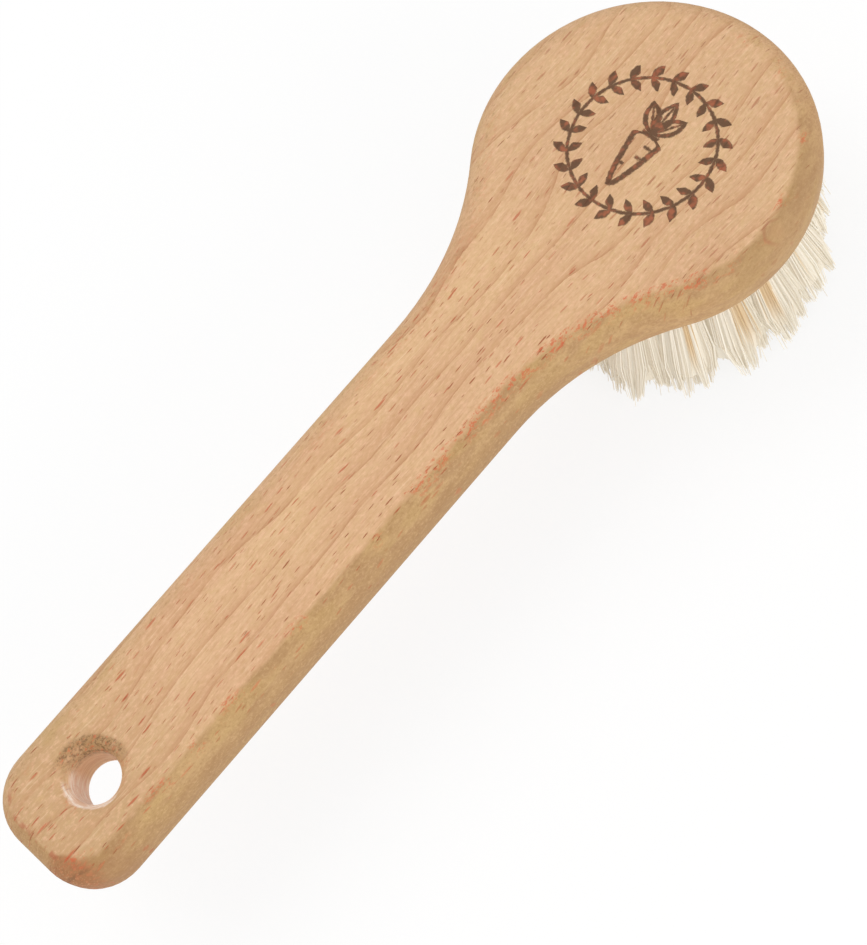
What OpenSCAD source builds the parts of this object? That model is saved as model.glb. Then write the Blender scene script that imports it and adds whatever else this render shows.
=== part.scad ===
// Round-headed wooden vegetable brush with bristle tufts and a hanging hole.
// The origin is the centre of the round head on the flat back face. +X runs
// from the handle to the head, +Z points out of the back face, and the
// bristles point along -Z.

/* [Board] */
// Length from the tail end to the front of the head
overall_length = 130; // [105:1:160]
// Diameter of the round head
head_diameter = 42.6; // [41:0.1:52]
// Width of the straight handle
handle_width = 19.2; // [16:0.1:24]
// Thickness of the board
board_thickness = 8.6; // [7.2:0.1:12]
// Radius of the hollow curve where the handle meets the head
neck_radius = 37.2; // [15:0.1:50]
// Radius of the two corners at the tail, seen from above
tail_corner_radius = 6.8; // [5:0.1:7.9]
// Rounding of the edge round the back face
back_edge_radius = 3.6; // [2:0.1:3.7]
// Rounding of the edge round the bristle face
bristle_edge_radius = 3.5; // [2:0.1:3.5]

/* [Hanging hole] */
// Diameter of the straight wall of the hole
hang_hole_diameter = 6.2; // [4:0.1:9]
// From the tail end to the middle of the hole
hang_hole_from_tail = 11.4; // [9:0.1:20]
// Rounding of the two mouths of the hole
hang_mouth_radius = 1.8; // [0.5:0.1:2]

/* [Tuft holes] */
// Diameter of the hole that takes one tuft
tuft_hole_diameter = 3.2; // [2.6:0.1:3.9]
// Depth of the tuft holes from the bristle face
tuft_hole_depth = 6; // [4.8:0.1:6.4]
// Flat wood left between the outer tufts and the rounded edge
tuft_edge_margin = 0.5; // [0.3:0.1:2]
// Gap all round between a tuft and its hole
tuft_clearance = 0.05; // [0.02:0.01:0.15]

/* [Bristles] */
// Length of the bristles outside the board
bristle_length = 17; // [12:0.5:24]
// Width of the bristle field at its tips, as a share of its width at the roots
field_spread = 1.28; // [1:0.01:1.35]
// Gap between the tips of neighbouring tufts
tip_gap = 0.6; // [0.4:0.1:2]
// Bristles in one tuft
bristles_per_tuft = 13; // [8:1:13]
// Width of one bristle at its root
bristle_width = 0.46; // [0.3:0.02:0.5]
// Depth of the flat cut across the longest tips
tip_cut = 0.5; // [0.2:0.1:1]

/* [Anchors] */
// How far an anchor reaches into the wood on each side of its hole
anchor_bite = 0.3; // [0.2:0.05:0.6]
// Height of the anchor, along the hole
anchor_height = 1.5; // [1:0.1:2]
// Thickness of the anchor
anchor_thickness = 0.35; // [0.2:0.05:0.6]
// Gap all round between the anchor and what it is pressed into
anchor_clearance = 0.02; // [0.01:0.01:0.05]
// Thickness of the folded roots between the anchor and the end of the hole
fold_thickness = 0.9; // [0.5:0.1:1.2]

/* [Hidden] */
$fn = 64;
// How far a cutter runs past the face that it opens
past = 1;

// Plan of the board
head_radius = head_diameter / 2;
half_width = handle_width / 2;
tail_x = head_radius - overall_length;
corner_x = tail_x + tail_corner_radius;
corner_y = half_width - tail_corner_radius;
neck_y = half_width + neck_radius;
neck_x = -sqrt(pow(head_radius + neck_radius, 2) - pow(neck_y, 2));
// Where the straight handle ends, in whole thousandths of a millimetre, and
// the little that is left from there to the centre of the neck curves
straight_end_x = round(1000 * neck_x) / 1000;
neck_rest = neck_x - straight_end_x;
hang_x = tail_x + hang_hole_from_tail;
// Width of the rim that is swept round the core of the board
rim = max(back_edge_radius, bristle_edge_radius) + 0.1;

// Rings of tufts, from the middle outwards
RING_COUNTS = [1, 6, 12, 18];
RING_NAMES = ["centre", "inner", "middle", "outer"];
LAST_RING = len(RING_COUNTS) - 1;
anchor_length = tuft_hole_diameter + 2 * anchor_bite;
tuft_reach = anchor_length / 2 + anchor_clearance;
field_radius = head_radius - bristle_edge_radius - tuft_edge_margin - tuft_reach;
ring_pitch = field_radius / LAST_RING;

// Heights in a tuft hole
face_z = -board_thickness;
hole_end_z = face_z + tuft_hole_depth;
root_top_z = hole_end_z - tuft_clearance;
anchor_top_z = root_top_z - fold_thickness;
anchor_z = anchor_top_z - anchor_height;
// The packed roots stand out of the hole this far before the bristles part
root_proud = 0.5;
root_z = face_z - root_proud;
root_radius = tuft_hole_diameter / 2 - tuft_clearance;

// Bristles: how deep they run into the packed roots, the place of the bend and
// the share of the spread that is reached there, the taper and the scatter
root_overlap = 0.3;
bend_share = 0.5;
bend_spread = 0.42;
tip_taper = 0.85;
tip_scatter = 0.25;
length_scatter = 1.6;
golden_angle = 137.508;

TUFTS = [for (ring = [0 : LAST_RING]) for (i = [0 : RING_COUNTS[ring] - 1]) [ring, i]];

function two_digits(n) = n < 10 ? str("0", n) : str(n);
function tuft_number(ring, i) =
    RING_COUNTS[ring] < 10 ? str(i + 1) : two_digits(i + 1);
function tuft_name(t) =
    t[0] == 0 ? "tuft_centre"
    : str("tuft_", RING_NAMES[t[0]], "_", tuft_number(t[0], t[1]));
function tuft_angle(t) = (t[1] + 0.5 * (t[0] % 2)) * 360 / RING_COUNTS[t[0]];
function tuft_centre(t) =
    t[0] * ring_pitch * [cos(tuft_angle(t)), sin(tuft_angle(t))];

// The rim's section, from x = 0 at the core to x = rim at the rounded edge
module rim_section() {
    upright = board_thickness - back_edge_radius - bristle_edge_radius;
    translate([0, face_z + bristle_edge_radius]) square([rim, upright]);
    translate([0, -back_edge_radius]) square([rim - back_edge_radius, back_edge_radius]);
    translate([rim - back_edge_radius, -back_edge_radius]) intersection() {
        circle(back_edge_radius);
        square(back_edge_radius);
    }
    translate([0, face_z]) square([rim - bristle_edge_radius, bristle_edge_radius]);
    translate([rim - bristle_edge_radius, face_z + bristle_edge_radius]) intersection() {
        circle(bristle_edge_radius);
        translate([0, -bristle_edge_radius]) square(bristle_edge_radius);
    }
}

// Part of the plan between the head and the straight handle, on one side
module neck_plan() {
    end_y = neck_y * straight_end_x / neck_x;
    polygon([[0, 0], [straight_end_x, end_y], [straight_end_x, 0]]);
}

module neck_sector() {
    translate([0, 0, face_z - past])
        linear_extrude(board_thickness + 2 * past) neck_plan();
}

// Moves what follows to the centre of a neck curve
module at_neck_centre() {
    translate([straight_end_x, neck_y, 0]) translate([neck_rest, 0, 0]) children();
}

// Rim round the head, as far as the two neck curves
module head_rim() difference() {
    rotate_extrude() translate([head_radius - rim, 0]) rim_section();
    for (side = [0, 1]) mirror([0, side, 0]) neck_sector();
}

// Rim along one neck curve
module neck_rim() intersection() {
    at_neck_centre()
        rotate_extrude() translate([neck_radius + rim, 0]) mirror([1, 0]) rim_section();
    neck_sector();
}

// Rim round one corner of the tail
module corner_rim() {
    translate([corner_x, corner_y, 0])
        rotate([0, 0, 90])
            rotate_extrude(angle = 90)
                translate([tail_corner_radius - rim, 0]) rim_section();
}

// Rim along a straight edge, which lies on x = 0 and runs along -Y
module straight_rim(length) {
    rotate([90, 0, 0]) linear_extrude(length) translate([-rim, 0]) rim_section();
}

// The plan inside the rims
module core_plan() {
    circle(head_radius - rim);
    translate([corner_x, rim - half_width])
        square([straight_end_x - corner_x, 2 * (half_width - rim)]);
    translate([tail_x + rim, -corner_y])
        square([tail_corner_radius - rim, 2 * corner_y]);
    for (side = [0, 1]) mirror([0, side]) {
        translate([corner_x, corner_y]) intersection() {
            circle(tail_corner_radius - rim);
            translate([rim - tail_corner_radius, 0]) square(tail_corner_radius - rim);
        }
        difference() {
            neck_plan();
            at_neck_centre() circle(neck_radius + rim);
        }
    }
}

// The core of the board, with its tuft holes
module drilled_core() difference() {
    translate([0, 0, face_z]) linear_extrude(board_thickness) core_plan();
    for (t = TUFTS) translate(tuft_centre(t)) tuft_hole();
}

// The rims, which carry the rounded edges
module rims() {
    head_rim();
    for (side = [0, 1]) mirror([0, side, 0]) {
        neck_rim();
        translate([corner_x, half_width, 0])
            rotate([0, 0, 90]) straight_rim(straight_end_x - corner_x);
        corner_rim();
    }
    translate([tail_x, -corner_y, 0]) rotate([0, 0, 180]) straight_rim(2 * corner_y);
}

// Straight hole through the board with a rounded mouth on each face
module hang_hole() {
    wall_radius = hang_hole_diameter / 2;
    mouth_radius = wall_radius + hang_mouth_radius;
    translate([hang_x, 0, 0]) rotate_extrude() difference() {
        translate([0, face_z - past]) square([mouth_radius, board_thickness + 2 * past]);
        translate([wall_radius, face_z + hang_mouth_radius])
            square([hang_mouth_radius + past, board_thickness - 2 * hang_mouth_radius]);
        for (z = [-hang_mouth_radius, face_z + hang_mouth_radius])
            translate([mouth_radius, z]) circle(hang_mouth_radius);
    }
}

// Blind hole, with the two narrow grooves that the anchor cuts as it goes in
module tuft_hole() {
    groove_length = anchor_length + 2 * anchor_clearance;
    groove_width = anchor_thickness + 2 * anchor_clearance;
    groove_top_z = anchor_top_z + anchor_clearance;
    translate([0, 0, face_z - past])
        cylinder(d = tuft_hole_diameter, h = tuft_hole_depth + past);
    translate([-groove_length / 2, -groove_width / 2, face_z - past])
        cube([groove_length, groove_width, groove_top_z - face_z + past]);
}

module wooden_body() color([0.84, 0.67, 0.49]) difference() {
    union() {
        drilled_core();
        rims();
    }
    hang_hole();
}

// Flat anchors, each lying in the fold of its tuft and biting into the wood
module tuft_anchors() color([0.72, 0.72, 0.74]) for (t = TUFTS)
    translate(tuft_centre(t))
        translate([-anchor_length / 2, -anchor_thickness / 2, anchor_z])
            cube([anchor_length, anchor_thickness, anchor_height]);

// Corners of a three-sided bristle at one height
function bristle_ring(centre, z, turn) = [
    for (k = [0 : 2])
        let (r = bristle_width / sqrt(3) * (z < root_z - past ? tip_taper : 1))
        [centre.x + r * cos(turn + 120 * k), centre.y + r * sin(turn + 120 * k), z]
];

// A bristle from its root through one bend to its tip, as closed triangles
module bristle(root, bend, tip, bend_z, tip_z, turn) {
    corners = concat(
        bristle_ring(root, root_z + root_overlap, turn),
        bristle_ring(bend, bend_z, turn),
        bristle_ring(tip, tip_z, turn)
    );
    sides = [
        for (ring = [0, 3]) for (k = [0 : 2])
            let (a = ring + k, b = ring + (k + 1) % 3)
            each [[a, b, b + 3], [a, b + 3, a + 3]]
    ];
    polyhedron(corners, concat([[0, 2, 1]], sides, [[6, 7, 8]]));
}

// The bristles of one tuft part evenly from the packed roots, so none cross
module tuft_bristles(centre, seed) {
    count = bristles_per_tuft;
    scatter = rands(-1, 1, 3 * count, seed);
    bristle_radius = bristle_width / sqrt(3);
    spread_radius = root_radius - bristle_radius;
    tip_pitch = ring_pitch * field_spread;
    tip_radius = (tip_pitch - tip_gap) / 2 - sqrt(2) * tip_scatter - bristle_radius;
    lowest_z = face_z - bristle_length;
    for (k = [0 : count - 1]) {
        angle = k * golden_angle + seed * 29;
        place = sqrt((k + 0.5) / count) * [cos(angle), sin(angle)];
        sway = tip_scatter * [scatter[3 * k], scatter[3 * k + 1]];
        root = centre + spread_radius * place;
        tip = field_spread * centre + tip_radius * place + sway;
        free_z = lowest_z - tip_cut + length_scatter * (1 + scatter[3 * k + 2]) / 2;
        tip_z = max(free_z, lowest_z);
        bend_z = root_z + (tip_z - root_z) * bend_share;
        bend = root + (tip - root) * bend_spread;
        bristle(root, bend, tip, bend_z, tip_z, angle);
    }
}

// One folded tuft: packed roots round the anchor, and the bristles below
module tuft(t) color([0.92, 0.88, 0.80]) {
    centre = tuft_centre(t);
    window = [
        2 * root_radius + 2 * past,
        anchor_thickness + 2 * anchor_clearance,
        anchor_height + 2 * anchor_clearance
    ];
    difference() {
        translate([centre.x, centre.y, root_z])
            cylinder(r = root_radius, h = root_top_z - root_z);
        translate([centre.x, centre.y, anchor_z + anchor_height / 2])
            cube(window, center = true);
    }
    tuft_bristles(centre, 10 * t[0] * t[0] + t[1]);
}

wooden_body();
tuft_anchors();
for (t = TUFTS) tuft(t);
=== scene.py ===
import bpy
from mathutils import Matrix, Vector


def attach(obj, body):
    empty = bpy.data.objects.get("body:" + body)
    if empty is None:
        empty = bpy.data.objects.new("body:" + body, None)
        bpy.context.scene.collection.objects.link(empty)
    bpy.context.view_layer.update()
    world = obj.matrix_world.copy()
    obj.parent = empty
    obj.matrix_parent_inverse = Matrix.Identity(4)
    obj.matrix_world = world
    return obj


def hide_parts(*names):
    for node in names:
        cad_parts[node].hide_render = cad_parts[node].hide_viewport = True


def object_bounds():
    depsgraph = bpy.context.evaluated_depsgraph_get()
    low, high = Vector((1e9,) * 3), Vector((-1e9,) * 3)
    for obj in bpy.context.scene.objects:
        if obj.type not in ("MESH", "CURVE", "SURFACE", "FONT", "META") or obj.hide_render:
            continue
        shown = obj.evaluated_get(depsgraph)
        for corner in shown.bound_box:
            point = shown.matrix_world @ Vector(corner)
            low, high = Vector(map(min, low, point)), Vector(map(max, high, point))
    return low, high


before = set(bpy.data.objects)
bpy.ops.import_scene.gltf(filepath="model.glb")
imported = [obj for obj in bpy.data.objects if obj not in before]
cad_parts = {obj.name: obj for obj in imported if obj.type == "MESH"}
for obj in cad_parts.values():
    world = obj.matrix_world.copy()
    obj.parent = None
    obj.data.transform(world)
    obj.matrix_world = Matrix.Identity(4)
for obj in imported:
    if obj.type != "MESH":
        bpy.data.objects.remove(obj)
cad_box = [list(corner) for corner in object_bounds()]

import math
import random

import bmesh
import bpy
from mathutils import Matrix, Vector

# The frame is the part's own: the origin is the centre of the round head on
# the flat back face, +X runs from the handle to the head, +Z points out of the
# back face. Lengths are written in millimetres and turned into metres by MM.
MM = 0.001

# Board
BOARD = 8.6
HANG_X = -97.3
HANG_RADIUS = 3.1
HANG_MOUTH = 1.8

# Tufts, as they are set out in the wood
RINGS = (("centre", 1), ("inner", 6), ("middle", 12), ("outer", 18))
RING_PITCH = 15.38 / 3
HOLE_RADIUS = 1.6
ANCHOR_TOP = -3.55
ANCHOR_HALF = 0.175
FACE = -BOARD
TIPS = -25.6

# Strands of one tuft, their number and the range of their radius
STRANDS = 270
STRAND_RADII = (0.07, 0.105)
# Radius of the strands where they are packed in the hole
PACKED = HOLE_RADIUS - 0.17
# Just out of the hole, where the strands begin to open
START = FACE - 0.1
# Width of a strand at each of its points, from the fold to the tip
TAPER = (1, 1, 1, 1, 0.98, 0.9, 0.55)
# Where the points out of the hole lie: the share of the way to the tips, and
# the share of the spread that is reached there
OPENING = ((0.26, 0.62), (0.66, 0.92), (1.0, 1.0))
# How far the tufts lean outwards, as a share of their place, and how wide each
# one opens at its tips
SPREAD = 1.27
FAN = 3.8
# The tips gather in this many clumps
CLUMPS = 14
GATHERING = 0.5
# The side of the head where the outer tufts are pressed in by use
PRESSED_SIDE = Vector((0.9, -0.44))
# Share of single strands that are yellower than the rest
GOLDEN_STRANDS = 0.03

# The heart of a tuft: the number of its flutes, and its rings with the same two
# shares as above and how full each ring is
FLUTES = 60
HEART_RINGS = (
    (0.0, 0.0, 0.9), (0.26, 0.62, 1.0), (0.6, 0.9, 1.0),
    (0.76, 0.95, 0.97), (0.82, 0.96, 0.7), (0.84, 0.96, 0.2),
)
SEED = 7

# Camera, as it was fitted to the board's outline in the photograph
CAMERA_LENS = 80.92
CAMERA_PLACE = (-72.012, -98.697, 225.31)
CAMERA_RIGHT = (0.65174, -0.72626, -0.21857)
CAMERA_UP = (0.75081, 0.57703, 0.32144)
CAMERA_FORWARD = (0.10733, 0.3736, -0.92136)


# ---------------------------------------------------------------- shader maths
class Signal:
    """One output of a node, which can be used in an expression."""

    def __init__(self, finish, node, socket):
        self.finish, self.node, self.socket = finish, node, socket

    def also(self, name):
        """Another output of the same node."""
        return Signal(self.finish, self.node, self.node.outputs[name])

    def maths(self, operation, *values):
        """A maths node for those values; self only says in which finish."""
        settings = {"operation": operation}
        return self.finish.node("Math", settings, dict(enumerate(values)))

    def __add__(self, other):
        return self.maths("ADD", self, other)

    def __sub__(self, other):
        return self.maths("SUBTRACT", self, other)

    def __rsub__(self, other):
        return self.maths("SUBTRACT", other, self)

    def __mul__(self, other):
        return self.maths("MULTIPLY", self, other)

    def __truediv__(self, other):
        return self.maths("DIVIDE", self, other)

    def __pow__(self, other):
        return self.maths("POWER", self, other)

    def __abs__(self):
        return self.maths("ABSOLUTE", self)

    __radd__ = __add__
    __rmul__ = __mul__

    def most(self, other):
        return self.maths("MAXIMUM", self, other)

    def least(self, other):
        return self.maths("MINIMUM", self, other)

    def sign(self):
        return self.maths("SIGN", self)

    def angle(self, across):
        """The angle of a place that lies this far up and that far across."""
        return self.maths("ARCTAN2", self, across)

    def part(self):
        """What is left over past the last whole number."""
        return self.maths("FRACT", self)

    def to_and_fro(self, height):
        """Rises to that height and falls back to nought, over and over."""
        return self.maths("PINGPONG", self, height)

    def fade(self, start, end):
        """0 at start and 1 at end, with a soft turn at both."""
        values = {"Value": self, "From Min": start, "From Max": end}
        return self.finish.node("MapRange", {"interpolation_type": "SMOOTHSTEP"}, values)


class Finish:
    """A material or a world, built up from nodes."""

    def __init__(self, data):
        self.data = data
        data.use_nodes = True
        self.tree = data.node_tree
        self.tree.nodes.clear()

    def node(self, kind, settings=None, values=None, output=0):
        """A node of that type with its settings, and then its sockets' values."""
        node = self.tree.nodes.new("ShaderNode" + kind)
        for name, setting in (settings or {}).items():
            setattr(node, name, setting)
        for name, value in (values or {}).items():
            if isinstance(value, Signal):
                self.tree.links.new(value.socket, node.inputs[name])
            else:
                node.inputs[name].default_value = value
        return Signal(self, node, node.outputs[output]) if node.outputs else node

    def attribute(self, name):
        return self.node("Attribute", {"attribute_name": name}, output="Fac")

    def vector(self, operation, *values):
        settings = {"operation": operation}
        output = "Value" if operation == "LENGTH" else 0
        return self.node("VectorMath", settings, dict(enumerate(values)), output)

    def split(self, vector):
        node = self.node("SeparateXYZ", None, {"Vector": vector})
        return [node.also(axis) for axis in "XYZ"]

    def join(self, x, y, z):
        return self.node("CombineXYZ", None, {"X": x, "Y": y, "Z": z})

    def millimetres(self):
        """The place on the object, in millimetres."""
        return self.vector("MULTIPLY", self.node("TexCoord", output="Object"), (1 / MM,) * 3)

    def noise(self, place, size, detail=2.0, roughness=0.5):
        """Soft noise from 0 to 1, with blotches of about that size along each axis."""
        values = {
            "Vector": self.vector("DIVIDE", place, size),
            "Scale": 1.0, "Detail": detail, "Roughness": roughness,
        }
        return self.node("TexNoise", None, values)

    def mix(self, share, first, second):
        """The second colour over the first one."""
        values = {0: share, 6: first, 7: second}
        return self.node("Mix", {"data_type": "RGBA"}, values, 2)

    def layers(self, ground, *layers):
        """Lays colours over the ground, each with the share of it that shows."""
        for share, tone in layers:
            over = tone if isinstance(tone, Signal) else colour(*tone)
            ground = self.mix(share, ground, over)
        return ground

    def bump(self, height, distance):
        values = {"Height": height, "Distance": distance, "Strength": 1.0}
        return self.node("Bump", None, values)

    def seen(self):
        """1 for what the camera, a reflection or a clear surface looks at."""
        ray = self.node("LightPath")
        direct = ray.also("Is Camera Ray").most(ray.also("Is Glossy Ray"))
        return direct.most(ray.also("Is Transmission Ray"))

    def surface(self, values):
        return self.output(self.node("BsdfPrincipled", None, values))

    def output(self, shader, kind="OutputMaterial"):
        """Ends the tree with that shader, and gives back the finished data."""
        self.node(kind, None, {"Surface": shader})
        return self.data


def colour(red, green, blue):
    """A colour from its 0 to 255 values on the screen."""
    def linear(value):
        value /= 255
        return value / 12.92 if value <= 0.04045 else ((value + 0.055) / 1.055) ** 2.4
    return (linear(red), linear(green), linear(blue), 1.0)


# -------------------------------------------------------------------- materials
def flecks(finish, place, spacing, half_size, share, seed):
    """Thin lens-shaped rays of the wood: their mask and a random number for each."""
    shifted = finish.vector("ADD", finish.vector("DIVIDE", place, spacing), seed)
    values = {"Vector": shifted, "Scale": 1.0, "Randomness": 0.95}
    cell = finish.node("TexVoronoi", None, values, "Position")
    away = finish.vector("SUBTRACT", shifted, cell)
    reach = [half / gap for half, gap in zip(half_size, spacing)]
    nearness = finish.vector("LENGTH", finish.vector("DIVIDE", away, reach))
    chance, size, tone = finish.split(cell.also("Color"))
    body = (nearness * (0.7 + 0.8 * size)).fade(1.1, 0.55)
    return body * chance.fade(share + 0.04, share - 0.04), tone


def leaf(along, across, length, width):
    """Below nought inside a pointed leaf that is centred on along = 0."""
    return abs(across) - width * (1 - (along / length) ** 2)


def turned(along, across, degrees):
    """The same place on axes that are turned by that angle."""
    cos, sin = math.cos(math.radians(degrees)), math.sin(math.radians(degrees))
    return along * cos + across * sin, across * cos - along * sin


def burned_wreath(x, y, wobble):
    """A wreath of small leaves round a carrot, drawn in lines as a hot iron does."""
    line = 0.34
    up, side = x - 0.4, y * -1

    # Wreath: one leaf in each sector of a ring, on a thin stem
    ring, count = 9.0, 22
    radius = (up * up + side * side) ** 0.5
    sector = (side.angle(up) * (count / math.tau) + 100.5).part()
    along = (sector - 0.5) * (math.tau * ring / count)
    out = abs(radius - ring)
    tilted, crossing = turned(along, out, 50)
    wreath = leaf(tilted - 1.2, crossing, 1.15, 0.5).least(out - 0.19)

    # Carrot: the root narrows downwards, with short marks across it
    low, top = -6.2, 1.6
    share = ((top - up) / (top - low)).most(0.0).least(1.0)
    half = 2.0 * (1 - share) ** 0.62 * (up.fade(top, top - 0.9) ** 0.5)
    outline = abs(abs(side) - half) - line
    outline = outline.most(up - top).most(low - 0.2 - up)
    shoulder = (abs(up - top + 0.12) - line * 0.8).most(abs(side) - 1.15)
    marks = (up * 0.62 + 20).to_and_fro(0.5) - 0.11
    marks = marks.most(abs(side - 0.9 * (up + 2.3).sign()) - 0.62)
    marks = marks.most(abs(side) - half).most(up - top + 1.0).most(low + 1.6 - up)
    drawing = wreath.least(outline).least(shoulder).least(marks)

    # Leaves on top of the carrot
    for degrees, length in ((0, 2.3), (34, 2.0), (-34, 2.0)):
        stalk, off = turned(up - top, side, degrees)
        rim = leaf(stalk - length - 0.3, off, length, 0.85)
        vein = (abs(off) - 0.13).most(abs(stalk - length) - length * 0.9)
        drawing = drawing.least(abs(rim) - line * 0.8).least(vein)
    return (drawing + wobble).fade(0.1, -0.1)


def beech():
    """Plain sawn beech with its rays, softer growth stripes and darker end grain."""
    wood = Finish(bpy.data.materials.new("oiled_beech"))
    place = wood.millimetres()
    x, y, z = wood.split(place)
    facing = wood.split(wood.node("TexCoord", output="Normal"))

    # The grain runs along X and wanders a little
    drift = wood.noise(place, (38, 16, 16), 1.0) - 0.5
    grain = wood.vector("ADD", place, wood.join(0.0, drift * 5, drift * 3))
    fibre = wood.noise(grain, (5.0, 0.22, 0.30), 3.0, 0.6)
    silk = wood.noise(grain, (1.6, 0.8, 0.9), 4.0, 0.65)
    stripe = wood.noise(grain, (60, 2.6, 5.0), 2.0, 0.55)
    patch = wood.noise(grain, (26, 9, 9), 1.0)
    streaks = wood.noise(grain, (9.0, 0.3, 0.8), 1.0).fade(0.58, 0.74)
    pores = wood.noise(grain, (0.9, 0.13, 0.13), 1.0).fade(0.62, 0.74)

    # Noise that doesn't follow the grain, from coarse to fine
    rubbed = wood.noise(place, (5.0, 1.6, 1.3), 3.0, 0.6)
    blotch = wood.noise(place, (1.9, 1.1, 1.1), 2.0, 0.6)
    mottle = wood.noise(place, (0.8, 0.45, 0.45), 3.0, 0.65)

    # Year rings: a crisp line on one side that softens towards the next ring
    ragged = silk - 0.5
    level = (y + drift * 9 + (patch - 0.5) * 7 + z * 0.35) / 4.6 + ragged * 0.07
    since = (level + 50).part()
    year = (1 - since) ** 4
    year_line = (1 - since) ** 26 * rubbed.fade(0.34, 0.56)

    # Long rays and short dashes, with ragged ends
    torn = wood.vector("ADD", grain, wood.join(ragged * 1.2, ragged * 0.22, 0.0))
    rays, ray_tone = flecks(
        wood, torn, (3.1, 1.2, 3.4), (0.85, 0.12, 1.0), 0.42 + 0.4 * year, (3.1, 7.7, 1.3)
    )
    dashes, dash_tone = flecks(
        wood, torn, (2.2, 0.8, 2.2), (0.6, 0.075, 0.9), 0.6, (11.7, 2.9, 5.1)
    )

    # Ground colour of the faces
    near_tail, near_head = x.fade(-78, -100), x.fade(-24, 0)
    ground = wood.layers(
        wood.mix(stripe.fade(0.3, 0.7), colour(218, 177, 135), colour(210, 165, 125)),
        (patch.fade(0.42, 0.68) * 0.5, (222, 185, 137)),
        (near_tail * 0.8, (194, 157, 113)),
        (near_head * 0.26, (200, 168, 128)),
        (silk.fade(0.45, 0.7) * 0.35, (207, 162, 118)),
        (blotch.fade(0.52, 0.72) * 0.35, (228, 180, 146)),
        (blotch.fade(0.46, 0.28) * 0.3, (214, 178, 124)),
        (mottle.fade(0.48, 0.7) * 0.5, (238, 192, 154)),
        (mottle.fade(0.48, 0.28) * 0.5, (196, 154, 104)),
        (year * 0.45, (194, 144, 102)),
        (year_line * 0.6, (166, 108, 66)),
        (streaks * 0.22, (190, 138, 100)),
        (fibre.fade(0.5, 0.75) * 0.42, (188, 138, 100)),
        (fibre.fade(0.45, 0.22) * 0.45, (240, 206, 168)),
    )

    # The rounded edges, apart from the mouth of the hanging hole
    from_hole = ((x - HANG_X) ** 2 + y ** 2) ** 0.5
    mouth_edge = HANG_RADIUS + HANG_MOUTH
    mouth = from_hole.fade(mouth_edge + 0.5, mouth_edge - 0.4)
    end = x.fade(HANG_X - 7.0, HANG_X - 8.6)
    into = z + 0.36 * end * y.fade(-4.0, -2.4) + (blotch - 0.5) * 0.12
    edge = into.fade(0.0, -0.24) * z.fade(-BOARD + 0.02, -BOARD + 0.3) * (1 - mouth)

    # They are browner, partly their own tone and partly painted shade that is less on the
    # lit side and deepest on the side away from the light; pinker low down is a painted
    # reflection of the floor
    head = x.fade(-14, 4)
    lit_side = y.fade(2 - 18 * head, 6 - 8 * head) * 0.9
    steep = z.fade(-0.4, -2.4)
    # The edge's own brown, which also carries painted shade
    edge_tone_and_shade = wood.mix(rubbed.fade(0.3, 0.7), colour(190, 154, 104), colour(166, 128, 84))
    tinted = wood.noise(place, (7.0, 3.0, 2.2))
    # Painted shade: darker in the steep turn of the handle's edge on the side away from the
    # light
    deep_shade = z.fade(-0.4, -3.6) * edge * x.fade(-14, -34) * y.fade(2, -4)
    sawn = wood.noise(place, (0.5, 0.34, 0.34), 3.0, 0.75)
    shaded = edge * x.fade(-12, -2) * y.fade(-12, -18)
    # Painted reflection of the pale floor: the lowest part of the edge is lighter and pinker
    low = z.fade(-6.4, -7.8) * z.fade(-BOARD, -BOARD + 0.4) * edge
    ground = wood.layers(
        ground,
        (edge * (0.86 - lit_side * (0.86 - 0.6 * steep)), edge_tone_and_shade),
        (edge * tinted.fade(0.5, 0.66) * 0.4, (190, 156, 98)),
        (deep_shade * 0.7, (160, 122, 80)),
        (edge * sawn.fade(0.5, 0.66) * 0.35, (212, 174, 126)),
        (edge * sawn.fade(0.48, 0.3) * 0.45, (156, 116, 72)),
        (shaded * 0.35, (156, 120, 82)),
        (low * 0.5, (206, 156, 124)),
    )

    # End grain, on what faces along the fibres, and a tail painted darker, partly its own
    # end grain and partly painted shade, with a vein
    ends = abs(facing[0]).fade(0.3, 0.85) * edge
    specks = wood.noise(place, (0.5, 0.2, 0.34), 2.0, 0.7)
    corner = x.fade(-97, -104) * y.fade(-4.0, -8.5) * edge
    # The tail's end grain is painted darker, partly its own tone and partly painted shade,
    # as less light reaches that end
    shaded_tail = x.fade(HANG_X - 6.2, HANG_X - 8.6) * edge
    shaded_tail = shaded_tail * y.fade(-1.8, -4.0) * y.fade(-10.4, -7.0)
    vein = abs(y + 5.85 + 0.55 * (x - HANG_X + 10) + ragged * 0.4).fade(0.32, 0.05)
    seam = end * z.fade(-0.2, -0.36) * z.fade(-0.75, -0.5) * rubbed.fade(0.45, 0.6)
    ground = wood.layers(
        ground,
        (ends * 0.45, (190, 146, 100)),
        (corner * 0.36, (146, 96, 60)),
        (shaded_tail * (0.72 + 0.6 * (specks - 0.5)), (158, 102, 62)),
        (vein * edge * end * 0.5, (120, 82, 50)),
        (shaded_tail * mottle.fade(0.5, 0.62) * 0.4, (204, 124, 82)),
        (seam * 0.6, (176, 96, 64)),
        (ends * specks.fade(0.52, 0.7) * 0.55, (150, 104, 66)),
        (ends * specks.fade(0.42, 0.3) * 0.5, (222, 182, 138)),
    )

    # Orange specks where the rays come out in the turn of an edge
    speckle = wood.noise(place, (0.9, 0.45, 0.5), 4.0, 0.8)
    cluster = wood.noise(place, (5, 4, 4), 1.0)
    cluster = cluster + 0.22 * x.fade(-56, -38) * x.fade(2, -10) + 0.16 * shaded_tail - 0.07
    turn_line = z.fade(0.0, -0.02) * z.fade(-1.0, -0.15)
    orange = turn_line * speckle.fade(0.505, 0.6) * cluster.fade(0.46, 0.6)
    orange = orange * (0.25 + 0.75 * y.fade(2, -4))

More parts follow.
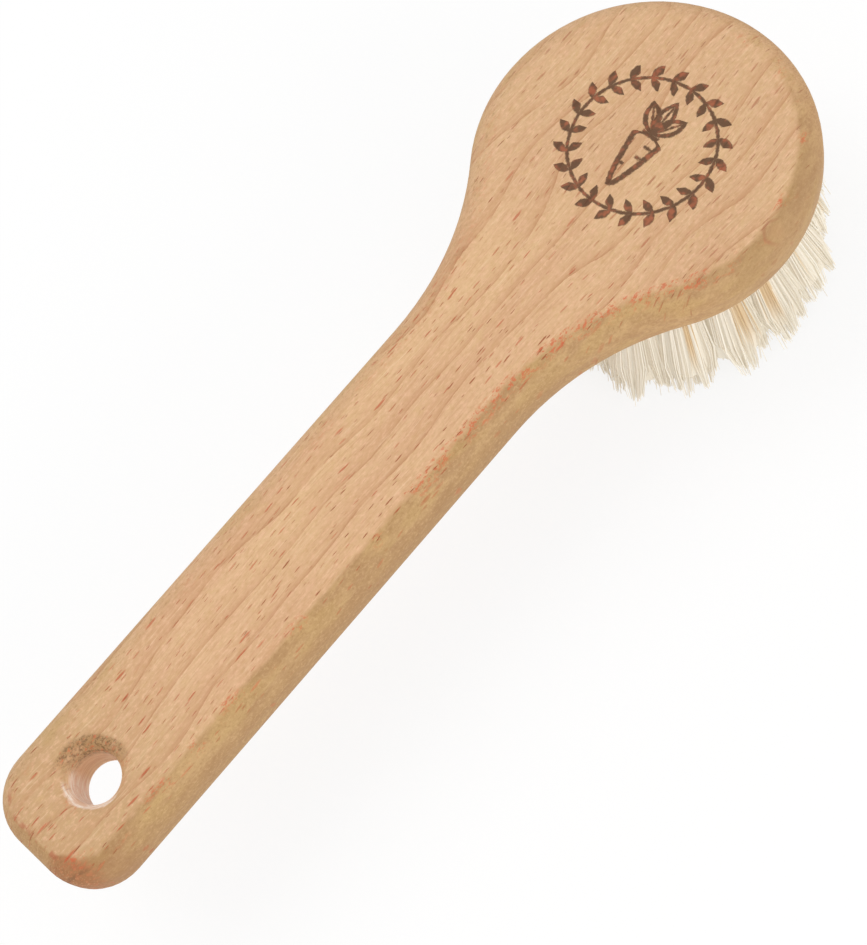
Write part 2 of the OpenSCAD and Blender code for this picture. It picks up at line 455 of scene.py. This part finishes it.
    # Flecks: browner on the head, paler on what faces sideways
    darker = x.fade(-20, -4)
    sideways = abs(facing[1]).fade(0.35, 0.8)
    rays = rays * (1 - 0.72 * sideways) * (1 - 0.25 * darker)
    dashes = dashes * (1 - 0.4 * sideways) * (1 - 0.4 * darker)
    red = wood.mix(ray_tone, colour(202, 88, 50), colour(166, 76, 38))
    red = wood.mix(darker * 0.55, red, colour(128, 74, 44))
    dark = wood.mix(dash_tone, colour(202, 96, 58), colour(158, 84, 44))
    dark = wood.mix(darker * 0.5, dark, colour(120, 74, 46))
    ground = wood.layers(
        ground,
        (orange * 0.75, (202, 98, 60)),
        (rays * (0.5 + 0.5 * ray_tone), red),
        (dashes * (0.4 + 0.5 * dash_tone), dark),
        (pores * 0.16, (140, 92, 60)),
    )

    # Inside of the hanging hole: scored by the drill, painted paler than it is to make up
    # for its shade, with painted light on its lit wall and lip and a painted shade line on
    # the far rim
    inside = from_hole.fade(HANG_RADIUS + 0.5, HANG_RADIUS + 0.05)
    scored = wood.noise(place, (2.0, 2.0, 0.2), 3.0, 0.65)
    # Painted light: the bored wall is painted paler than it is, to make up for the shade in
    # the hole
    bored_and_lightened = wood.mix(scored.fade(0.32, 0.7), colour(240, 206, 166), colour(218, 172, 134))
    # Painted light: a pale tone on the lit wall of the mouth and on its lip
    painted_light_pale = wood.mix(scored.fade(0.4, 0.6), colour(255, 244, 232), colour(236, 200, 176))
    away = (y * 0.1 - (x - HANG_X)).fade(0.9, 2.7)
    away = away * z.fade(-0.9, -1.6) * z.fade(-BOARD + 0.8, -BOARD + 2.2)
    lip = abs(from_hole - HANG_RADIUS - 0.4 - (mottle - 0.5) * 0.5).fade(0.55, 0.15)
    lip = lip * ((HANG_X - x) * 0.85 - y * 0.5).fade(0.8, 2.6) * z.fade(-3.0, -2.4)
    # Painted shade: a dark line along the rim of the bore on its far side
    rim_shade_line = abs(from_hole - HANG_RADIUS - 0.38 + (mottle - 0.5) * 0.3).fade(0.2, 0.02)
    rim_shade_line = rim_shade_line * ((x - HANG_X) * 0.9 - y * 0.45).fade(-0.6, -2.4)
    rim_shade_line = rim_shade_line * z.fade(-0.8, -1.1)

    # Its mouth is darker on the side towards the head: partly rubbed grime and partly
    # painted shade, as that side faces away from the light
    toward = ((x - HANG_X) * 0.62 + y * 0.78).fade(0.2, 3.2)
    grime_and_shade = mouth * toward * z.fade(-3.4, -1.6)
    grime_and_shade = grime_and_shade * (from_hole + (rubbed - 0.5) * 1.6).fade(5.3, 4.6)
    soot = wood.noise(place, (0.42, 0.32, 0.4), 4.0, 0.8)
    ground = wood.layers(
        ground,
        (inside * 0.8, bored_and_lightened),
        (mouth * away * 0.9, painted_light_pale),
        (lip * 0.75, painted_light_pale),
        (rim_shade_line * 0.6, (150, 114, 84)),
        (grime_and_shade * rubbed.fade(0.25, 0.5) * 0.65, (158, 120, 74)),
        (grime_and_shade * soot.fade(0.46, 0.62) * 0.66, (96, 68, 38)),
        (grime_and_shade * speckle.fade(0.56, 0.64) * 0.8, (206, 108, 70)),
    )

    # A small knot in the turn of the head
    across, along = (x - 1.0) / 1.5, (y + 19.6) / 1.2
    knot = (across ** 2 + along ** 2) ** 0.5 + ragged * 0.5
    knot_ring = abs(knot - 1.0).fade(0.22, 0.03) * (along - across).fade(-1.2, 0.8)

    # Burned decoration on the back of the head
    wobble = (wood.noise(place, (0.5, 0.5, 0.5)) - 0.5) * 0.35
    burn = burned_wreath(x, y, wobble) * z.fade(-0.4, -0.02)
    heat = wood.noise(place, (1.5, 1.3, 1.3), 2.0, 0.6)
    scorch = wood.mix(heat.fade(0.32, 0.54), colour(152, 78, 50), colour(80, 48, 28))
    ground = wood.layers(
        ground,
        (knot_ring * 0.55, (166, 112, 76)),
        (knot.fade(1.05, 0.3) * 0.3, (192, 146, 102)),
        (burn * 0.9, scorch),
    )

    height = fibre * 0.35 + silk * 0.3 - rays * 0.5 - dashes * 0.5 - burn * 2.2
    height = height + ends * specks * 0.8
    return wood.surface({
        "Base Color": ground,
        "Roughness": 0.56 + 0.12 * silk + 0.1 * ends + 0.15 * burn,
        "Specular IOR Level": 0.35,
        "Normal": wood.bump(height, 0.00008),
    })


def bristle_fibre():
    """Pale bristle, cream with a yellower root here and there."""
    fibre = Finish(bpy.data.materials.new("pale_bristle"))
    grain = fibre.noise(fibre.millimetres(), (0.12, 0.12, 1.6), 2.0, 0.6)
    yellow = fibre.attribute("golden") * fibre.attribute("along").fade(0.8, 0.35)
    shade = fibre.layers(
        fibre.mix(fibre.attribute("tone"), colour(222, 213, 197), colour(229, 223, 209)),
        (grain.fade(0.45, 0.75) * 0.25, (214, 202, 178)),
        (yellow * 0.85, (204, 174, 128)),
    )
    # The faint glow stands for the light that soaks through the strands
    return fibre.surface({
        "Base Color": shade,
        "Emission Color": shade,
        "Emission Strength": 0.16,
        "Roughness": 0.5 + 0.12 * grain,
        "Specular IOR Level": 0.3,
        "Normal": fibre.bump(grain, 0.00002),
    })


def anchor_steel():
    """Drawn flat wire, with fine lines along it."""
    steel = Finish(bpy.data.materials.new("anchor_wire"))
    place = steel.millimetres()
    drawn = steel.noise(place, (2.0, 0.06, 0.06), 3.0)
    dull = steel.noise(place, (0.7, 0.7, 0.7))
    shade = steel.mix(dull.fade(0.4, 0.7), colour(196, 196, 200), colour(168, 166, 164))
    return steel.surface({
        "Base Color": shade,
        "Metallic": 1.0,
        "Roughness": 0.24 + 0.2 * drawn,
        "Normal": steel.bump(drawn, 0.00001),
    })


def pale_floor():
    """Near-white paper that keeps a soft shadow."""
    paper = Finish(bpy.data.materials.new("pale_paper"))
    tooth = paper.noise(paper.millimetres(), (10 / 9,) * 3)
    lit = paper.node("BsdfDiffuse", None, {
        "Color": (0.96, 0.96, 0.96, 1), "Normal": paper.bump(tooth, 0.00001),
    })
    white = paper.node("Emission", None, {"Color": (1, 1, 1, 1), "Strength": 1.0})
    sheet = paper.node("MixShader", None, {0: paper.seen() * 0.8, 1: lit, 2: white})
    # Clear from underneath, so that the bristle side can be looked at too
    under = paper.node("NewGeometry", output="Backfacing")
    clear = paper.node("BsdfTransparent")
    return paper.output(paper.node("MixShader", None, {0: under, 1: sheet, 2: clear}))


# ----------------------------------------------------------------------- tufts
def tuft_places():
    """The name, the ring and the centre of each tuft on the face of the head."""
    for ring, (name, count) in enumerate(RINGS):
        digits = len(str(count))
        for number in range(count):
            turn = (number + 0.5 * (ring % 2)) * math.tau / count
            centre = Vector((math.cos(turn), math.sin(turn))) * ring * RING_PITCH
            label = name if count == 1 else f"{name}_{number + 1:0{digits}d}"
            yield label, ring, centre


def half_disc(number, side, turn):
    """A place in one half of a round bundle of strands, packed evenly."""
    golden_section = 0.618034
    angle = math.pi * ((number * golden_section + turn) % 1)
    radius = math.sqrt((number + 0.5) / STRANDS)
    return Vector((math.cos(angle), side * math.sin(angle))) * radius


def widened(place, outward):
    """A place in a tuft's tip, spread further along the rim of the head than out."""
    out = place.dot(outward)
    return place * 1.1 - outward * out * 0.2


def tuft_habit(centre, ring, draw):
    """How one tuft stands: its spread, its lean, its clumps and its golden streak."""
    outer = ring == len(RINGS) - 1
    facing = max(0.0, centre.dot(PRESSED_SIDE) / max(centre.length, 1.0))
    pressed = 0.11 * facing ** 6 if outer else 0.0
    habit = {
        "spread": SPREAD + draw.uniform(-0.015, 0.02),
        "fan": FAN + draw.uniform(-0.2, 0.3),
        "lean": Vector((draw.gauss(0, 0.25), draw.gauss(0, 0.25))) - centre * pressed,
        "trim": max(0.0, draw.gauss(0.1, 0.3)),
        "wild": 0.02 if outer else 0.01,
        "clumps": [],
    }
    for number in range(CLUMPS):
        side = 1 if number % 2 == 0 else -1
        at = half_disc(number * STRANDS / CLUMPS, side, draw.random())
        habit["clumps"].append({"at": at, "trim": draw.uniform(0, 1.2)})
    outward = centre.normalized() if centre.length > 0 else Vector((1, 0))
    habit["outward"] = outward
    habit["streak_at"] = outward * 0.85 + outward.orthogonal() * draw.uniform(-0.6, 0.6)
    habit["streak_half"] = draw.uniform(0.18, 0.32)
    habit["streak"] = draw.random() < (0.62 if outer else 0.3)
    habit["tip_centre"] = centre * habit["spread"] + habit["lean"]
    return habit


def in_streak(place, habit):
    """Whether that place in the bundle belongs to the tuft's golden streak."""
    return habit["streak"] and (place - habit["streak_at"]).length < habit["streak_half"]


def strand_path(centre, number, side, habit, draw):
    """Points down one leg of a folded strand, from the top of the fold to the tip."""
    root_place = half_disc(number, side, 0.0)
    tip_place = half_disc(number, side, 0.02)
    clump = min(habit["clumps"], key=lambda c: (c["at"] - root_place).length)
    off_clump = (clump["at"] - root_place).length
    stray = Vector((draw.gauss(0, 1), draw.gauss(0, 1)))
    wild = 1.0 if draw.random() < habit["wild"] else 0.0

    # Inside the hole, over the anchor and down beside it
    root = centre + root_place * PACKED
    beside = ANCHOR_HALF + 0.15 + abs(root_place.y) * 1.05
    leg = centre + Vector((root_place.x * PACKED * 0.96, side * beside))
    fold = ANCHOR_TOP + 0.14 + 0.6 * abs(root_place.y)
    shoulder = ANCHOR_TOP + 0.05 + (fold - ANCHOR_TOP) * 0.6
    points = [
        Vector((leg.x, centre.y, fold)),
        Vector((leg.x, centre.y + (leg.y - centre.y) * 0.72, shoulder)),
        Vector((leg.x, leg.y, ANCHOR_TOP - 0.35)),
        Vector((root.x, root.y, START)),
    ]

    # Out of the hole, where the strands open and gather again at their tips
    outward = centre.normalized()
    tip = habit["tip_centre"] + widened(tip_place, outward) * habit["fan"]
    tip += stray * (0.34 + 0.25 * wild) + outward * wild * 0.4
    gathered = habit["tip_centre"] + widened(clump["at"], outward) * habit["fan"]
    trim = habit["trim"] + clump["trim"] + abs(draw.gauss(0, 0.3)) + 3.0 * off_clump
    length = FACE - TIPS - max(trim - 1.0 * wild, 0.0)
    bow = Vector((draw.gauss(0, 0.1), draw.gauss(0, 0.1)))
    for share, opened in OPENING:
        place = centre.lerp(habit["tip_centre"], share ** 1.2)
        place += (root - centre).lerp(tip - habit["tip_centre"], opened)
        place += bow * math.sin(math.pi * share)
        if share == 1:
            place = place.lerp(gathered, GATHERING * (1 - wild))
        points.append(Vector((place.x, place.y, FACE - length * share)))
    return points


def add_strands(mesh, layers, centre, habit, draw):
    """The strands, each as two three-sided legs that are drawn out step by step."""
    which, tone, golden, down = layers
    legs = []
    for number in range(STRANDS):
        for side in (1, -1):
            points = [p * MM for p in strand_path(centre, number, side, habit, draw)]
            if side > 0:
                radius = draw.uniform(*STRAND_RADII) * MM
            shade = draw.random()
            gold = 1.0 if in_streak(half_disc(number, side, 0.0), habit) else 0.0
            if draw.random() < GOLDEN_STRANDS:
                gold = 0.8
            turn = Matrix.Rotation(math.radians(-90 * side), 4, "X")
            turn @= Matrix.Rotation(draw.uniform(0, math.tau), 4, "Z")
            made = bmesh.ops.create_circle(
                mesh, cap_ends=True, segments=3, radius=radius,
                matrix=Matrix.Translation(points[0]) @ turn,
            )
            made["verts"][0].link_faces[0][which] = len(legs)
            for corner in made["verts"]:
                corner[tone], corner[golden], corner[down] = shade, gold, 0.0
            legs.append({"points": points, "side": side, "tone": shade, "golden": gold})

    caps = list(mesh.faces)
    for step in range(1, len(TAPER)):
        caps = bmesh.ops.extrude_discrete_faces(mesh, faces=caps)["faces"]
        narrower = TAPER[step] / TAPER[step - 1]
        for cap in caps:
            leg = legs[cap[which]]
            start, end = leg["points"][step - 1], leg["points"][step]
            # The first two steps turn the leg from lying across to hanging down
            bend = Matrix.Rotation(math.radians(-45 * leg["side"]), 3, "X")
            for corner in cap.verts:
                offset = (corner.co - start) * narrower
                corner.co = end + (bend @ offset if step < 3 else offset)
                corner[tone], corner[golden] = leg["tone"], leg["golden"]
                out = (FACE * MM - corner.co.z) / ((FACE - TIPS) * MM)
                corner[down] = max(0.0, out)


def add_heart(mesh, layers, centre, habit, draw):
    """The close-packed middle of a tuft, fluted as strands that lie together are."""
    _, tone, golden, down = layers
    made = bmesh.ops.create_circle(
        mesh, cap_ends=True, segments=FLUTES, radius=MM,
        matrix=Matrix.Translation(Vector((centre.x, centre.y, START)) * MM),
    )
    cap = made["verts"][0].link_faces[0]
    ways = [corner.co.xy / MM - centre for corner in cap.verts]
    depths = [draw.uniform(0.92, 0.985) for _ in cap.verts]
    tones = [draw.random() for _ in cap.verts]
    # The face looks down, so that it grows that way
    if ways[0].cross(ways[1]) > 0:
        cap.normal_flip()
    for share, opened, full in HEART_RINGS:
        if share > 0:
            cap = bmesh.ops.extrude_discrete_faces(mesh, faces=[cap])["faces"][0]
        middle = centre.lerp(habit["tip_centre"], share ** 1.2)
        half = PACKED * (1 - opened) + habit["fan"] * opened
        height = START - (FACE - TIPS) * share
        for corner, way, depth, shade in zip(cap.verts, ways, depths, tones):
            out = way.lerp(widened(way, habit["outward"]), opened)
            at = middle + out * half * depth * full
            corner.co = Vector((at.x, at.y, height)) * MM
            corner[tone], corner[down] = shade, share
            corner[golden] = 0.9 if in_streak(way * 0.9, habit) else 0.0


def bristle_tuft(name, centre, ring, draw):
    """One tuft: strands folded over the anchor, round a heart that fills their middle."""
    habit = tuft_habit(centre, ring, draw)
    mesh = bmesh.new()
    layers = (
        mesh.faces.layers.int.new("which"),
        mesh.verts.layers.float.new("tone"),
        mesh.verts.layers.float.new("golden"),
        mesh.verts.layers.float.new("along"),
    )
    add_strands(mesh, layers, centre, habit, draw)
    add_heart(mesh, layers, centre, habit, draw)
    # The first caps were used up as the strands and the heart were drawn out
    bmesh.ops.holes_fill(mesh, edges=mesh.edges, sides=FLUTES)
    bmesh.ops.recalc_face_normals(mesh, faces=mesh.faces)
    return add_piece(name, mesh)


def add_piece(name, mesh):
    """The finished mesh as an object at the origin."""
    data = bpy.data.meshes.new(name)
    mesh.to_mesh(data)
    mesh.free()
    piece = bpy.data.objects.new(name, data)
    bpy.context.collection.objects.link(piece)
    return piece


# ---------------------------------------------------------------- camera, light
def set_camera():
    data = bpy.data.cameras.new("photo_view")
    data.lens = CAMERA_LENS
    data.sensor_width = 36
    data.sensor_fit = "AUTO"
    camera = bpy.data.objects.new("photo_view", data)
    bpy.context.collection.objects.link(camera)
    axes = (Vector(CAMERA_RIGHT), Vector(CAMERA_UP), -Vector(CAMERA_FORWARD))
    turn = Matrix(axes).transposed().to_4x4()
    camera.matrix_world = Matrix.Translation(Vector(CAMERA_PLACE) * MM) @ turn
    bpy.context.scene.camera = camera


def add_softbox(name, place, target, size, power):
    """A square light at that place, in metres, which looks at the target."""
    data = bpy.data.lights.new(name, "AREA")
    data.shape = "SQUARE"
    data.size = size
    data.energy = power
    lamp = bpy.data.objects.new(name, data)
    bpy.context.collection.objects.link(lamp)
    lamp.location = place
    look = Vector(target) - Vector(place)
    lamp.rotation_euler = look.to_track_quat("-Z", "Y").to_euler()


def set_light():
    """White surroundings, a key light behind the brush and a fill light before it."""
    studio = Finish(bpy.data.worlds.new("studio"))
    level = 0.8 + 0.2 * studio.seen()
    sky = studio.node("Background", None, {"Color": (1, 1, 1, 1), "Strength": level})
    bpy.context.scene.world = studio.output(sky, "OutputWorld")
    add_softbox("key_light", (-0.15, 0.45, 0.75), (-0.04, 0, 0), 0.5, 1.7)
    add_softbox("fill_light", (0.05, -0.75, 0.22), (0.01, 0, -0.01), 0.6, 2.4)


def add_floor(height):
    mesh = bmesh.new()
    bmesh.ops.create_grid(mesh, x_segments=2, y_segments=2, size=1.5)
    bmesh.ops.translate(mesh, verts=mesh.verts, vec=(0, 0, height))
    floor = add_piece("floor", mesh)
    floor.data.materials.append(pale_floor())


def dress(node, material):
    """Gives a CAD node its finish."""
    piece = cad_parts[node]
    piece.data.materials.clear()
    piece.data.materials.append(material)


# ----------------------------------------------------------------------- scene
set_camera()
set_light()
add_floor(cad_box[0][2])
bpy.context.scene.view_settings.view_transform = "Standard"

dress("wooden_body", beech())
dress("tuft_anchors", anchor_steel())

bristles = bristle_fibre()
chance = random.Random(SEED)
for label, ring, centre in tuft_places():
    tuft = bristle_tuft(f"bristles_{label}", centre, ring, chance)
    tuft.data.materials.append(bristles)
    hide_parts(f"tuft_{label}")
    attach(tuft, "root")
